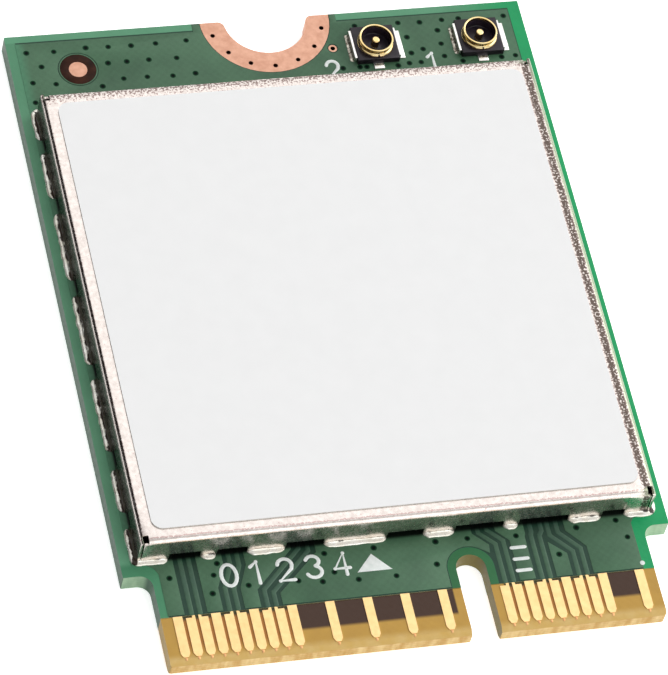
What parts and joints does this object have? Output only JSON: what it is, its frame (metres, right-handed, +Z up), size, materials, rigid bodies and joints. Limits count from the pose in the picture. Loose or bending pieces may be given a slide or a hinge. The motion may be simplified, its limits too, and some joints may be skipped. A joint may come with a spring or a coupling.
{
  "type": "wireless network card",
  "caption": "Small plug-in wireless card: flat board with gold edge contacts and a key slot, a shield can, two antenna sockets and a half round screw notch.",
  "frame": {"origin": "middle of the card on its underside", "axes": "+X along the edge contacts to the right, +Y from the edge contacts to the screw notch, +Z up on the component side"},
  "size_m": [0.022, 0.03, 0.0022],
  "materials": {
    "solder_mask": "satin green solder mask on glass-fibre laminate",
    "contact_gold": "hard gold plating, satin",
    "bare_copper": "bare matt copper with a clear protective coat",
    "can_metal": "bright tin-plated sheet",
    "solder": "bright reflowed solder",
    "label_paper": "smooth blank label",
    "socket_plastic": "black moulded plastic, satin",
    "socket_gold": "bright gold plating",
    "chip_black": "moulded black package",
    "crystal_lid": "plated metal lid on a ceramic base",
    "inductor_grey": "pressed ferrite",
    "filter_ceramic": "fired ceramic",
    "capacitor_ceramic": "fired ceramic with tinned ends"
  },
  "bodies": {
    "root": {"circuit_board": "solder_mask", "contacts_top_left": "contact_gold", "contacts_top_wide_set": "contact_gold", "contacts_top_right": "contact_gold", "contact_top_first": "contact_gold", "contacts_bottom_left": "contact_gold", "contacts_bottom_right": "contact_gold", "mounting_pad": "bare_copper", "grounding_via": "bare_copper", "alignment_mark": "bare_copper", "shield_can": "can_metal", "shield_solder": "solder", "label": "label_paper", "socket_1_base": "socket_plastic", "socket_1_shell": "socket_gold", "socket_1_pin": "socket_gold", "socket_1_solder": "solder", "socket_2_base": "socket_plastic", "socket_2_shell": "socket_gold", "socket_2_pin": "socket_gold", "socket_2_solder": "solder", "radio_chip": "chip_black", "front_end_module_1": "chip_black", "front_end_module_2": "chip_black", "reference_crystal": "crystal_lid", "voltage_regulator": "chip_black", "memory_chip": "chip_black", "power_inductors": "inductor_grey", "radio_filters": "filter_ceramic", "capacitors": "capacitor_ceramic", "resistors": "chip_black"}
  },
  "joints": []
}
